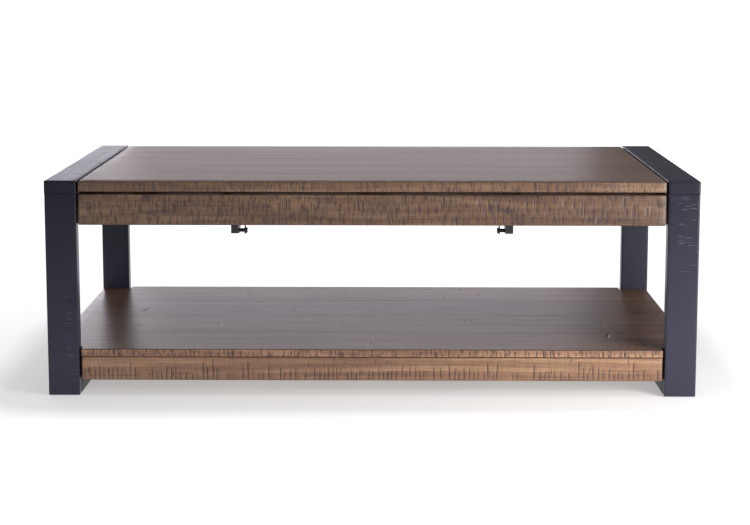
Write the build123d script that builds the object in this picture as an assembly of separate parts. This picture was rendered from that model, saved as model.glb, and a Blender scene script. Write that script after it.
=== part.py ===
"""Lift-top coffee table: two ring-shaped end frames, an apron box, a low shelf, and a top that
rises forward on a pair of spring-assisted parallelogram mechanisms.

Millimetres. X runs along the table, -Y is the front, +Z is up. The origin is on the floor, under
the middle of the table. Everything right of the middle is built once and mirrored to the left.
"""
from build123d import *
import math
import os

os.makedirs("parts", exist_ok=True)

# ---- Overall size ----
TABLE_WIDTH = 1372.0
TABLE_DEPTH = 711.0
TABLE_HEIGHT = 460.0

# ---- End frames: four thick planks joined into a ring ----
PLANK_WIDTH = 67.0
PLANK_THICK = 27.0
GLIDE_HEIGHT = 1.0
POST_SETBACK = 0.5
FRAME_EDGE_RADIUS = 2.0
DOWEL_RADIUS = 5.0
DOWEL_IN_END = 32.0
DOWEL_IN_FACE = 18.0
DOWEL_SPACING = 34.0
END_BOARD_THICK = 20.0
END_BOARD_DOWEL_Z = (56.0, 384.0)
POST_NOTCH_GAP = 1.0

# ---- Wooden panels between the end frames ----
REVEAL = 4.0
TOP_SETBACK = 2.0
BODY_SETBACK = 3.0
TOP_DROP = 1.5
TOP_THICK = 22.0
TOP_ROWS = 5
TOP_BUTT_JOINT_X = -313.0
SEAM_CHAMFER = 0.3
WOOD_EDGE_RADIUS = 1.5
APRON_TOP = 431.0
APRON_HEIGHT = 65.0
APRON_THICK = 20.0
SHELF_TOP = 100.3
SHELF_THICK = 16.0
SHELF_ROWS = 4
SHELF_RAIL_HEIGHT = 51.0
LEDGER_THICK = 24.0
LEDGER_SCREW_X = (60.0, 230.0, 400.0, 540.0)
LEDGER_SCREW_LENGTH = 36.0
BLOCK_SIDE = 28.0
BLOCK_SCREW_LENGTH = 42.0
BLOCK_SCREW_FROM_SIDE = 9.0
BLOCK_SCREW_FROM_FRONT = 18.0
BLOCK_SCREW_STAGGER = 7.0
BATTEN_WIDTH = 60.0
BATTEN_THICK = 18.0
BATTEN_X = 480.0
BATTEN_REACH = 300.0
CLEAT_WIDTH = 45.0
CLEAT_THICK = 24.0
CLEAT_X = 300.0
STRIP_SCREW_LENGTH = 34.0

# ---- Angle brackets that hold the panels to the end frames, and set the reveal ----
BRACKET_LEG = 45.0
BRACKET_WIDTH = 60.0
BRACKET_Y = 200.0
BRACKET_SCREW_SPACING = 34.0
BRACKET_SCREW_OUT = 22.0
BRACKET_SCREW_DOWN = 26.0
BRACKET_SCREW_LENGTH = 18.0

# ---- Lift mechanism, one each side; points are (y, z) ----
ARM_LENGTH = 260.0
ARM_WIDTH = 24.0
ARM_THICK = 4.0
ARM_REST_ANGLE = 4.0
ARM_OPEN_ANGLE = 122.0
PIVOT_SPAN = 60.0
PIVOT_SPAN_ANGLE = 155.0
REAR_PIVOT = (-211.0, 372.0)
SPRING_ANCHOR = (-262.0, 342.0)
SPRING_STUD_RADIUS_ON_ARM = 110.0
RAIL_INNER_X = 301.0
RAIL_THICK = 18.0
RAIL_HOUSING = 6.0
SHEET = 3.0
CLEVIS_GAP = 10.0
PIN_RADIUS = 5.0
PIN_CLEARANCE = 0.1
PIN_HEAD_RADIUS = 8.0
PIN_HEAD_THICK = 2.0
PIN_HEAD_GAP = 0.3
BUSH_WALL = 1.9
BUSH_FLANGE_RADIUS = 9.5
BUSH_FLANGE_THICK = 2.5
STOP_RADIUS = 4.0
STOP_CLEARANCE = 0.3
STOP_ALONG_ARM = 14.0

# ---- Base bracket ----
CHEEK_CORNERS = ((-301.0, 422.0), (-301.0, 374.0), (-154.0, 422.0), (-154.0, 390.0))
CHEEK_CORNER_RADIUS = 6.0
BASE_LUG_RADIUS = 13.0
ANCHOR_LUG_RADIUS = 6.5
WEB_Y = -290.0
WEB_Z = (339.0, 402.0)
FOLD_DEPTH = 6.0
BASE_SCREW_POINTS = ((-299.0, 416.0), (-299.0, 380.0), (-160.0, 416.0), (-160.0, 398.0))
BASE_SCREW_LENGTH = 16.0

# ---- Top bracket ----
TOP_BRACKET_FLANGE = 28.0
TOP_BRACKET_Y = (-60.0, 150.0)
TOP_CHEEK_Y = (-50.0, 100.0)
TOP_LUG_RADIUS = 12.0
TOP_BRACKET_SCREW_Y = (-48.0, -10.0, 30.0, 80.0, 136.0)
TOP_BRACKET_SCREW_LENGTH = 18.0

# ---- Extension spring ----
SPRING_X = 273.0
SPRING_OUTER_RADIUS = 9.0
SPRING_WIRE = 2.8
SPRING_FRONT_HOOK = 52.0
SPRING_REAR_HOOK = 24.0
SHANK_RADIUS = 1.25
STUD_RADIUS = 4.0
STUD_END_X = 271.0
STUD_HEAD_RADIUS = 6.0
STUD_HEAD_THICK = 3.0

# ---- Screws and small parts ----
HOLE_CLEARANCE = 0.05
BUMPER_RADIUS = 8.0
BUMPER_GAP = 0.3
BUMPER_Y = 280.0
GLIDE_RADIUS = 14.0
GLIDE_FROM_END = 45.0

# ---- Worked-out places ----
HALF_WIDTH = TABLE_WIDTH / 2
HALF_DEPTH = TABLE_DEPTH / 2
FRAME_INNER_X = HALF_WIDTH - PLANK_WIDTH
PANEL_X = FRAME_INNER_X - REVEAL
POST_OUTER_Y = HALF_DEPTH - POST_SETBACK
POST_INNER_Y = POST_OUTER_Y - PLANK_THICK
RUNNER_TOP = GLIDE_HEIGHT + PLANK_THICK
RAIL_UNDERSIDE = TABLE_HEIGHT - PLANK_THICK
TOP_Z1 = TABLE_HEIGHT - TOP_DROP
TOP_Z0 = TOP_Z1 - TOP_THICK
TOP_Y = HALF_DEPTH - TOP_SETBACK
BODY_Y = HALF_DEPTH - BODY_SETBACK
APRON_Z0 = APRON_TOP - APRON_HEIGHT
APRON_INNER_X = PANEL_X - APRON_THICK
APRON_INNER_Y = BODY_Y - APRON_THICK
LEDGER_INNER_Y = APRON_INNER_Y - LEDGER_THICK
SHELF_Z0 = SHELF_TOP - SHELF_THICK
SHELF_RAIL_Z0 = SHELF_Z0 - SHELF_RAIL_HEIGHT
SHELF_END_X = HALF_WIDTH - BODY_SETBACK
END_BOARD_X = SHELF_END_X - END_BOARD_THICK
OUTER_CHEEK_X = RAIL_INNER_X - SHEET
INNER_CHEEK_X = OUTER_CHEEK_X - CLEVIS_GAP - SHEET
ARM_X0 = OUTER_CHEEK_X - (CLEVIS_GAP + ARM_THICK) / 2
ARM_X1 = ARM_X0 + ARM_THICK


def polar(start, length, degrees):
    """Point at a distance and angle from start in the Y-Z plane, the angle measured from +Y to +Z."""
    angle = math.radians(degrees)
    return (start[0] + length * math.cos(angle), start[1] + length * math.sin(angle))


FRONT_PIVOT = polar(REAR_PIVOT, PIVOT_SPAN, PIVOT_SPAN_ANGLE)
REAR_PIVOT_ON_TOP = polar(REAR_PIVOT, ARM_LENGTH, ARM_REST_ANGLE)
FRONT_PIVOT_ON_TOP = polar(FRONT_PIVOT, ARM_LENGTH, ARM_REST_ANGLE)
SPRING_STUD = polar(REAR_PIVOT, SPRING_STUD_RADIUS_ON_ARM, ARM_REST_ANGLE)
STOP_PIN = polar(
    polar(REAR_PIVOT, STOP_ALONG_ARM, ARM_OPEN_ANGLE),
    ARM_WIDTH / 2 + STOP_RADIUS + STOP_CLEARANCE,
    ARM_OPEN_ANGLE + 90,
)


# ---- Building helpers ----
def slab(corner_a, corner_b):
    """Box between two opposite corners."""
    size = [abs(b - a) for a, b in zip(corner_a, corner_b)]
    low = [min(a, b) for a, b in zip(corner_a, corner_b)]
    return Pos(*low) * Box(*size, align=(Align.MIN, Align.MIN, Align.MIN))


def eased(board, radius):
    """The board with all of its edges rounded."""
    return fillet(board.edges(), radius)


def disc(y, z, radius, x_start, x_end):
    """Round bar lying along X, centred on (y, z)."""
    length = abs(x_end - x_start)
    return Pos((x_start + x_end) / 2, y, z) * Rot(0, 90, 0) * Cylinder(radius, length)


def bar_along(radius, z_start, z_end):
    """Round bar standing on the Z axis between two heights."""
    return Pos(0, 0, (z_start + z_end) / 2) * Cylinder(radius, z_end - z_start)


def plate(outline, x_start, x_end):
    """Sheet with a Y-Z outline, between two X planes."""
    return extrude(Plane.YZ.offset(x_start) * outline, amount=x_end - x_start)


def circle_at(point, radius):
    """Circle in the Y-Z outline plane."""
    return Pos(point[0], point[1]) * Circle(radius)


def hull_of(*shapes):
    """Outline stretched round several circles and rectangles, like a belt."""
    edges = [edge for shape in shapes for edge in shape.edges()]
    return make_hull(edges)


def outline_box(y0, y1, z0, z1):
    """Rectangle in the Y-Z outline plane."""
    return Pos((y0 + y1) / 2, (z0 + z1) / 2) * Rectangle(y1 - y0, z1 - z0)


def screw(head, direction, length, radius=2.0, countersunk=False, grow=0.0):
    """Wood screw whose head's seat is at head and whose point goes along direction.

    A pan head stands back from the seat. A countersunk head ends flush with it. grow makes the
    slightly larger copy that cuts its hole.
    """
    up = (Align.CENTER, Align.CENTER, Align.MIN)
    shank = Cylinder(radius + grow, length + grow, align=up)
    if countersunk:
        top = Cone(2 * radius + grow, radius + grow, radius + grow, align=up)
    else:
        top = Pos(0, 0, -radius * 1.1) * Cylinder(2 * radius + grow, radius * 1.1, align=up)
    return Plane(origin=head, z_dir=direction) * (shank + top)


def drill(board, placements, **options):
    """The board with a hole for each screw placement that reaches it."""
    for head, direction, length in placements:
        board = board - screw(head, direction, length, grow=HOLE_CLEARANCE, **options)
    return board


def screws_at(placements, **options):
    """All the screws of a placement list, as separate solids."""
    return [screw(head, direction, length, **options) for head, direction, length in placements]


def mirrored(placements):
    """A placement list with its left-hand copy added."""
    copies = [
        ((-head[0], head[1], head[2]), (-way[0], way[1], way[2]), length)
        for head, way, length in placements
    ]
    return placements + copies


def save(name, *solids):
    """Write one node, as a single solid or as a group of separate solids."""
    shapes = [solid for part in solids for solid in part.solids()]
    export_step(shapes[0] if len(shapes) == 1 else Compound(children=shapes), f"parts/{name}.step")


def save_pair(name, *solids):
    """Write the right-hand node and its mirror image on the left."""
    save(f"right_{name}", *solids)
    save(f"left_{name}", *[mirror(part, about=Plane.YZ) for part in solids])


def both_sides(solids):
    """Solids with their left-hand copies."""
    return list(solids) + [mirror(solid, about=Plane.YZ) for solid in solids]


# ---- End frames ----
def dowel(joint, way):
    """Dowel across a joint: joint is a point on the joint face, way goes into the butted piece."""
    start = [place - DOWEL_IN_FACE * step for place, step in zip(joint, way)]
    up = (Align.CENTER, Align.CENTER, Align.MIN)
    return Plane(origin=start, z_dir=way) * Cylinder(DOWEL_RADIUS, DOWEL_IN_FACE + DOWEL_IN_END, align=up)


def frame_dowels():
    """Dowels of the right-hand ring: in the posts' heads, the runner's ends and the end boards."""
    middle_x = FRAME_INNER_X + PLANK_WIDTH / 2
    end_board_x = END_BOARD_X + END_BOARD_THICK / 2
    dowels = []
    for way in (-1, 1):
        for x in (middle_x - DOWEL_SPACING / 2, middle_x + DOWEL_SPACING / 2):
            head_y = way * (POST_OUTER_Y - PLANK_THICK / 2)
            dowels.append(dowel((x, head_y, RAIL_UNDERSIDE), (0, 0, -1)))
            dowels.append(dowel((x, way * POST_INNER_Y, GLIDE_HEIGHT + PLANK_THICK / 2), (0, -way, 0)))
        for z in END_BOARD_DOWEL_Z:
            dowels.append(dowel((end_board_x, way * POST_INNER_Y, z), (0, -way, 0)))
    return dowels


def bracket_screws(seat_z, facing):
    """Screws of the right-hand brackets at one level.

    Half of them go up (facing 1) or down (facing -1) into the frame, the others into the panel.
    """
    frame_x = FRAME_INNER_X + BRACKET_SCREW_OUT
    side_z = seat_z - facing * BRACKET_SCREW_DOWN
    placements = []
    for y in (-BRACKET_Y, BRACKET_Y):
        for offset in (-BRACKET_SCREW_SPACING / 2, BRACKET_SCREW_SPACING / 2):
            placements.append(((frame_x, y + offset, seat_z), (0, 0, facing), BRACKET_SCREW_LENGTH))
            placements.append(((FRAME_INNER_X, y + offset, side_z), (-1, 0, 0), BRACKET_SCREW_LENGTH))
    return placements


UPPER_BRACKET_Z = RAIL_UNDERSIDE - REVEAL
LOWER_BRACKET_Z = RUNNER_TOP + REVEAL
UPPER_SCREWS = bracket_screws(UPPER_BRACKET_Z, 1)
LOWER_SCREWS = bracket_screws(LOWER_BRACKET_Z, -1)


def angle_brackets():
    """The four right-hand angle brackets, drilled for their screws, as thick as the reveal."""
    brackets = []
    for y in (-BRACKET_Y, BRACKET_Y):
        y0, y1 = y - BRACKET_WIDTH / 2, y + BRACKET_WIDTH / 2
        outer_x = PANEL_X + BRACKET_LEG
        upper = slab((PANEL_X, y0, UPPER_BRACKET_Z), (outer_x, y1, RAIL_UNDERSIDE))
        upper += slab((PANEL_X, y0, RAIL_UNDERSIDE - BRACKET_LEG), (FRAME_INNER_X, y1, RAIL_UNDERSIDE))
        lower = slab((PANEL_X, y0, RUNNER_TOP), (outer_x, y1, LOWER_BRACKET_Z))
        lower += slab((PANEL_X, y0, RUNNER_TOP), (FRAME_INNER_X, y1, RUNNER_TOP + BRACKET_LEG))
        brackets.append(drill(upper, UPPER_SCREWS))
        brackets.append(drill(lower, LOWER_SCREWS))
    return brackets


def pegged(board, dowels):
    """The board with its share of the dowel holes."""
    for peg in dowels:
        board = board - peg
    return board


def end_frame(dowels):
    """Top plank, runner and two posts of the right-hand ring."""
    inner, outer = FRAME_INNER_X, HALF_WIDTH
    top = slab((inner, -HALF_DEPTH, RAIL_UNDERSIDE), (outer, HALF_DEPTH, TABLE_HEIGHT))
    runner = slab((inner, -POST_INNER_Y, GLIDE_HEIGHT), (outer, POST_INNER_Y, RUNNER_TOP))
    front = slab(
        (inner + POST_SETBACK, -POST_OUTER_Y, GLIDE_HEIGHT),
        (outer - POST_SETBACK, -POST_INNER_Y, RAIL_UNDERSIDE),
    )
    rear = mirror(front, about=Plane.XZ)
    save_pair("end_top_plank", pegged(drill(eased(top, FRAME_EDGE_RADIUS), UPPER_SCREWS), dowels))
    save_pair("end_runner", pegged(drill(eased(runner, FRAME_EDGE_RADIUS), LOWER_SCREWS), dowels))
    save_pair("front_post", pegged(eased(front, FRAME_EDGE_RADIUS), dowels))
    save_pair("rear_post", pegged(eased(rear, FRAME_EDGE_RADIUS), dowels))


def end_boards(dowels):
    """Boards between the right-hand posts: one under the top plank, one from runner to shelf."""
    return [
        pegged(slab((END_BOARD_X, -POST_INNER_Y, z0), (SHELF_END_X, POST_INNER_Y, z1)), dowels)
        for z0, z1 in ((APRON_Z0, RAIL_UNDERSIDE), (RUNNER_TOP, SHELF_Z0))
    ]


def floor_glides():
    """Nylon discs under the ends of the right-hand runner."""
    x = FRAME_INNER_X + PLANK_WIDTH / 2
    return [
        Pos(x, y, GLIDE_HEIGHT / 2) * Cylinder(GLIDE_RADIUS, GLIDE_HEIGHT)
        for y in (-HALF_DEPTH + GLIDE_FROM_END, HALF_DEPTH - GLIDE_FROM_END)
    ]


# ---- Apron box ----
def block_screws(inner_y, z_low, z_high):
    """Screws of two right-hand corner blocks, into the board in front or behind and the side board."""
    face_x = APRON_INNER_X - BLOCK_SIDE
    placements = []
    for way in (-1, 1):
        face_y = way * (inner_y - BLOCK_SIDE)
        side_y = way * (inner_y - BLOCK_SCREW_FROM_FRONT)
        for z in (z_low, z_high):
            front_head = (APRON_INNER_X - BLOCK_SCREW_FROM_SIDE, face_y, z)
            side_head = (face_x, side_y, z + BLOCK_SCREW_STAGGER)
            placements.append((front_head, (0, way, 0), BLOCK_SCREW_LENGTH))
            placements.append((side_head, (1, 0, 0), BLOCK_SCREW_LENGTH))
    return placements


def ledger_screws():
    """Screws of the right half of the two ledgers, outward into the aprons."""
    middle_z = (APRON_Z0 + APRON_TOP) / 2
    return [
        ((x, way * LEDGER_INNER_Y, middle_z), (0, way, 0), LEDGER_SCREW_LENGTH)
        for x in LEDGER_SCREW_X
        for way in (-1, 1)
    ]


APRON_BLOCK_SCREWS = block_screws(LEDGER_INNER_Y, APRON_Z0 + 15, APRON_TOP - 22)
SHELF_BLOCK_SCREWS = block_screws(APRON_INNER_Y, SHELF_RAIL_Z0 + 12, SHELF_Z0 - 18)
LEDGER_SCREWS = ledger_screws()


def corner_blocks(inner_y, z0, z1, placements):
    """Square blocks in the two right-hand corners of a box of boards."""
    blocks = []
    for way in (-1, 1):
        near = (APRON_INNER_X - BLOCK_SIDE, way * (inner_y - BLOCK_SIDE), z0)
        far = (APRON_INNER_X, way * inner_y, z1)
        blocks.append(drill(slab(near, far), placements))
    return blocks


def long_board(z0, z1, way, placements):
    """Front (way -1) or rear (way 1) show board of a box."""
    board = slab((-PANEL_X, way * APRON_INNER_Y, z0), (PANEL_X, way * BODY_Y, z1))
    return drill(eased(board, WOOD_EDGE_RADIUS), mirrored(placements))


def side_board(z0, z1, leg_z, placements):
    """Right-hand side board of a box, butted between the front and rear boards.

    It reaches the end frame, which closes the reveal behind the show boards, and is cut away from
    one height to another (leg_z) for the upright legs of its angle brackets.
    """
    board = slab((APRON_INNER_X, -APRON_INNER_Y, z0), (FRAME_INNER_X, APRON_INNER_Y, z1))
    for y in (-BRACKET_Y, BRACKET_Y):
        near = (PANEL_X, y - BRACKET_WIDTH / 2, leg_z[0])
        far = (FRAME_INNER_X + 1, y + BRACKET_WIDTH / 2, leg_z[1])
        board -= slab(near, far)
    return drill(board, placements)


def apron_ledgers():
    """Boards screwed behind the two aprons, with housings for the mechanism rails."""
    ledgers = []
    for way in (-1, 1):
        near = (-APRON_INNER_X, way * LEDGER_INNER_Y, APRON_Z0)
        far = (APRON_INNER_X, way * APRON_INNER_Y, APRON_TOP)
        ledger = drill(slab(near, far), mirrored(APRON_BLOCK_SCREWS + LEDGER_SCREWS))
        for side in (-1, 1):
            housing_near = (side * RAIL_INNER_X, way * (LEDGER_INNER_Y - 1), APRON_Z0 - 1)
            housing_far = (
                side * (RAIL_INNER_X + RAIL_THICK), way * (LEDGER_INNER_Y + RAIL_HOUSING), APRON_TOP + 1
            )
            ledger -= slab(housing_near, housing_far)
        ledgers.append(ledger)
    return ledgers


BASE_SCREWS = [((OUTER_CHEEK_X, y, z), (1, 0, 0), BASE_SCREW_LENGTH) for y, z in BASE_SCREW_POINTS]


def mechanism_rail():
    """Front-to-back rail that carries one base bracket, housed in the two ledgers."""
    reach = LEDGER_INNER_Y + RAIL_HOUSING
    rail = slab((RAIL_INNER_X, -reach, APRON_Z0), (RAIL_INNER_X + RAIL_THICK, reach, APRON_TOP))
    return drill(rail, BASE_SCREWS, countersunk=True)


def bumpers():
    """Rubber buffers on the right-hand side apron and mechanism rail, just under the top."""
    height = TOP_Z0 - BUMPER_GAP - APRON_TOP
    side_x = APRON_INNER_X + APRON_THICK / 2
    rail_x = RAIL_INNER_X + RAIL_THICK / 2
    return [
        Pos(x, y, APRON_TOP + height / 2) * Cylinder(BUMPER_RADIUS, height)
        for x in (side_x, rail_x)
        for y in (-BUMPER_Y, BUMPER_Y)
    ]


# ---- Shelf ----
def cleat_screws():
    """Screws up through the shelf's cleats, one for each plank."""
    row = 2 * BODY_Y / SHELF_ROWS
    return [
        ((x, -BODY_Y + row * (number + 0.5), SHELF_Z0 - CLEAT_THICK), (0, 0, 1), STRIP_SCREW_LENGTH)
        for x in (-CLEAT_X, 0.0, CLEAT_X)
        for number in range(SHELF_ROWS)
    ]


CLEAT_SCREWS = cleat_screws()


def plank_rows(rows, half_depth, half_length, z0, z1, placements):
    """Edge-glued planks along the table, finely chamfered at each seam and rounded at the rims."""
    width = 2 * half_depth / rows
    planks = []
    for number in range(rows):
        y0 = -half_depth + number * width
        plank = slab((-half_length, y0, z0), (half_length, y0 + width, z1))
        upper_edges = plank.edges().filter_by(Axis.X).group_by(Axis.Z)[-1]
        seams = [edge for edge in upper_edges if abs(edge.center().Y) < half_depth - 1]
        plank = chamfer(seams, SEAM_CHAMFER)
        long_edges = plank.edges().filter_by(Axis.X)
        rims = [edge for edge in long_edges if abs(edge.center().Y) > half_depth - 0.01]
        if rims:
            plank = fillet(rims, WOOD_EDGE_RADIUS)
        planks.append(drill(plank, placements))
    return planks


def notched_for_posts(plank):
    """A shelf plank with its corners cut away where the posts stand."""
    notch_y = POST_INNER_Y - POST_NOTCH_GAP
    for side in (-1, 1):
        for way in (-1, 1):
            near = (side * PANEL_X, way * notch_y, SHELF_Z0 - 1)
            far = (side * HALF_WIDTH, way * HALF_DEPTH, SHELF_TOP + 1)
            plank = plank - slab(near, far)
    return plank


# ---- Lift mechanism ----
def base_bracket():
    """Folded steel clevis: outer cheek screwed to the rail, inner cheek, and a web in front."""
    anchor_lug = circle_at(SPRING_ANCHOR, ANCHOR_LUG_RADIUS)
    front_lug, rear_lug = [circle_at(point, BASE_LUG_RADIUS) for point in (FRONT_PIVOT, REAR_PIVOT)]
    fold = outline_box(WEB_Y, WEB_Y + FOLD_DEPTH, *WEB_Z)
    outer = hull_of(*[circle_at(corner, CHEEK_CORNER_RADIUS) for corner in CHEEK_CORNERS])
    bracket = plate(outer + hull_of(anchor_lug, rear_lug, fold), OUTER_CHEEK_X, RAIL_INNER_X)
    inner = hull_of(anchor_lug, rear_lug, front_lug, fold)
    bracket += plate(inner, INNER_CHEEK_X, INNER_CHEEK_X + SHEET)
    bracket += plate(outline_box(WEB_Y, WEB_Y + SHEET, *WEB_Z), INNER_CHEEK_X, RAIL_INNER_X)
    holes = ((FRONT_PIVOT, PIN_RADIUS), (REAR_PIVOT, PIN_RADIUS))
    holes += ((SPRING_ANCHOR, STUD_RADIUS), (STOP_PIN, STOP_RADIUS))
    for point, radius in holes:
        bracket -= disc(*point, radius, INNER_CHEEK_X - 1, RAIL_INNER_X + 1)
    return drill(bracket, BASE_SCREWS, countersunk=True)


def base_pins():
    """The two headed pivot pins and the plain stop pin of the right-hand base bracket."""
    pins = []
    for point in (FRONT_PIVOT, REAR_PIVOT):
        pin = disc(*point, PIN_RADIUS, INNER_CHEEK_X, RAIL_INNER_X)
        head = disc(*point, PIN_HEAD_RADIUS, INNER_CHEEK_X - PIN_HEAD_THICK, INNER_CHEEK_X)
        pins.append(pin + eased_end(head, 0.8))
    pins.append(disc(*STOP_PIN, STOP_RADIUS, INNER_CHEEK_X, RAIL_INNER_X))
    return pins


def eased_end(head, radius):
    """A round head with its inner-side rim rounded."""
    rim = head.edges().filter_by(GeomType.CIRCLE).sort_by(Axis.X)[0]
    return fillet(rim, radius)


def spring_post(point, x_root):
    """Headed post, along X, that a spring's hook hangs on."""
    post = disc(*point, STUD_RADIUS, STUD_END_X, x_root)
    head = disc(*point, STUD_HEAD_RADIUS, STUD_END_X - STUD_HEAD_THICK, STUD_END_X)
    return post + eased_end(head, 1.0)


def arm(pivot, with_stud):
    """Flat bar between two pivots, with round ends and holes for its bushes."""
    far = polar(pivot, ARM_LENGTH, ARM_REST_ANGLE)
    bar = plate(
        hull_of(circle_at(pivot, ARM_WIDTH / 2), circle_at(far, ARM_WIDTH / 2)), ARM_X0, ARM_X1
    )
    for point in (pivot, far):
        bar -= disc(*point, PIN_RADIUS + PIN_CLEARANCE + BUSH_WALL, ARM_X0 - 1, ARM_X1 + 1)
    if with_stud:
        bar -= disc(*SPRING_STUD, STUD_RADIUS, ARM_X0 - 1, ARM_X1 + 1)
    return bar


def arm_bushes(pivot):
    """Flanged plastic bushes in the two ends of an arm."""
    bore = PIN_RADIUS + PIN_CLEARANCE
    bushes = []
    for point in (pivot, polar(pivot, ARM_LENGTH, ARM_REST_ANGLE)):
        bush = disc(*point, bore + BUSH_WALL, ARM_X0, ARM_X1)
        bush += disc(*point, BUSH_FLANGE_RADIUS, ARM_X0 - BUSH_FLANGE_THICK, ARM_X0)
        bush += disc(*point, BUSH_FLANGE_RADIUS, ARM_X1, ARM_X1 + BUSH_FLANGE_THICK)
        bushes.append(bush - disc(*point, bore, ARM_X0 - 5, ARM_X1 + 5))
    return bushes


def top_bracket_screws():
    """Screws up through the right-hand top bracket into the top."""
    x = INNER_CHEEK_X - TOP_BRACKET_FLANGE / 2
    seat_z = TOP_Z0 - SHEET
    return [((x, y, seat_z), (0, 0, 1), TOP_BRACKET_SCREW_LENGTH) for y in TOP_BRACKET_SCREW_Y]


TOP_BRACKET_SCREWS = top_bracket_screws()


def top_bracket():
    """Steel angle under the top, whose hanging cheek holds the upper pivot pins."""
    pivots = (FRONT_PIVOT_ON_TOP, REAR_PIVOT_ON_TOP)
    seat_z = TOP_Z0 - SHEET
    lugs = [circle_at(point, TOP_LUG_RADIUS) for point in pivots]
    cheek = hull_of(*lugs, outline_box(*TOP_CHEEK_Y, seat_z, TOP_Z0))
    bracket = plate(cheek, INNER_CHEEK_X, INNER_CHEEK_X + SHEET)
    bracket += slab(
        (INNER_CHEEK_X - TOP_BRACKET_FLANGE + SHEET, TOP_BRACKET_Y[0], seat_z),
        (INNER_CHEEK_X + SHEET, TOP_BRACKET_Y[1], TOP_Z0),
    )
    for point in pivots:
        bracket -= disc(*point, PIN_RADIUS, INNER_CHEEK_X - 1, INNER_CHEEK_X + SHEET + 1)
    return drill(bracket, TOP_BRACKET_SCREWS)


def top_pins():
    """The two headed pins that join the arms to the right-hand top bracket."""
    pins = []
    head_x = ARM_X1 + BUSH_FLANGE_THICK + PIN_HEAD_GAP
    for point in (FRONT_PIVOT_ON_TOP, REAR_PIVOT_ON_TOP):
        pin = disc(*point, PIN_RADIUS, INNER_CHEEK_X, head_x)
        pins.append(pin + disc(*point, PIN_HEAD_RADIUS, head_x, head_x + PIN_HEAD_THICK))
    return pins


def spring():
    """Envelope of the right-hand extension spring: its close-wound coil, two shanks and two eyes."""
    rise = SPRING_STUD[1] - SPRING_ANCHOR[1]
    run = SPRING_STUD[0] - SPRING_ANCHOR[0]
    length = math.hypot(run, rise)
    eye_radius = SPRING_OUTER_RADIUS - SPRING_WIRE / 2
    eye_shift = eye_radius - SPRING_WIRE / 2 - STUD_RADIUS - HOLE_CLEARANCE
    axis = Plane(origin=(SPRING_X, *SPRING_ANCHOR), x_dir=(1, 0, 0), z_dir=(0, run, rise))
    coil_start, coil_end = SPRING_FRONT_HOOK, length - SPRING_REAR_HOOK
    coil = bar_along(SPRING_OUTER_RADIUS, coil_start, coil_end)
    coil -= bar_along(
        SPRING_OUTER_RADIUS - SPRING_WIRE, coil_start + SPRING_WIRE, coil_end - SPRING_WIRE
    )
    eye = Rot(0, 90, 0) * Torus(eye_radius, SPRING_WIRE / 2)
    front_eye, rear_eye = eye_shift, length - eye_shift
    front_shank = bar_along(SHANK_RADIUS, front_eye + eye_radius, coil_start + SPRING_WIRE / 2)
    rear_shank = bar_along(SHANK_RADIUS, coil_end - SPRING_WIRE / 2, rear_eye - eye_radius)
    body = coil + front_shank + rear_shank
    return axis * (body + Pos(0, 0, front_eye) * eye + Pos(0, 0, rear_eye) * eye)


# ---- Top ----
def batten_screws():
    """Screws up through the battens, one for each plank of the top."""
    row = 2 * TOP_Y / TOP_ROWS
    return [
        ((x, -TOP_Y + row * (number + 0.5), TOP_Z0 - BATTEN_THICK), (0, 0, 1), STRIP_SCREW_LENGTH)
        for x in (-BATTEN_X, 0.0, BATTEN_X)
        for number in range(TOP_ROWS)
    ]


BATTEN_SCREWS = batten_screws()


def strips(width, reach, z0, z1, middle_x, placements):
    """Three front-to-back strips under a panel, drilled for their screws."""
    return [
        drill(slab((x - width / 2, -reach, z0), (x + width / 2, reach, z1)), placements)
        for x in (-middle_x, 0.0, middle_x)
    ]


def split_at(plank, x):
    """The plank as a left and a right stave, butted at x, with a fine chamfer at the joint."""
    box = plank.bounding_box()
    margin = 1.0
    staves = []
    for low, high in ((box.min.X - margin, x), (x, box.max.X + margin)):
        cutter = slab(
            (low, box.min.Y - margin, box.min.Z - margin), (high, box.max.Y + margin, box.max.Z + margin)
        )
        stave = plank & cutter
        face = stave.faces().sort_by(Axis.X)[-1 if high == x else 0]
        front = face.edges().sort_by(Axis.Y)[0]
        staves.append(chamfer(front, SEAM_CHAMFER))
    return staves


# ---- Build every node ----
dowels = frame_dowels()
end_frame(dowels)
save("end_boards", *both_sides(end_boards(dowels)))
save("frame_dowels", *both_sides(dowels))
save("floor_glides", *both_sides(floor_glides()))
save("angle_brackets", *both_sides(angle_brackets()))

save("front_apron", long_board(APRON_Z0, APRON_TOP, -1, LEDGER_SCREWS))
save("rear_apron", long_board(APRON_Z0, APRON_TOP, 1, LEDGER_SCREWS))
save("apron_ledgers", *apron_ledgers())
upper_leg_z = (RAIL_UNDERSIDE - BRACKET_LEG, RAIL_UNDERSIDE)
side_apron = side_board(APRON_Z0, APRON_TOP, upper_leg_z, UPPER_SCREWS + APRON_BLOCK_SCREWS)
save_pair("side_apron", side_apron)
save_pair("mechanism_rail", mechanism_rail())
save("bumpers", *both_sides(bumpers()))

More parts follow.
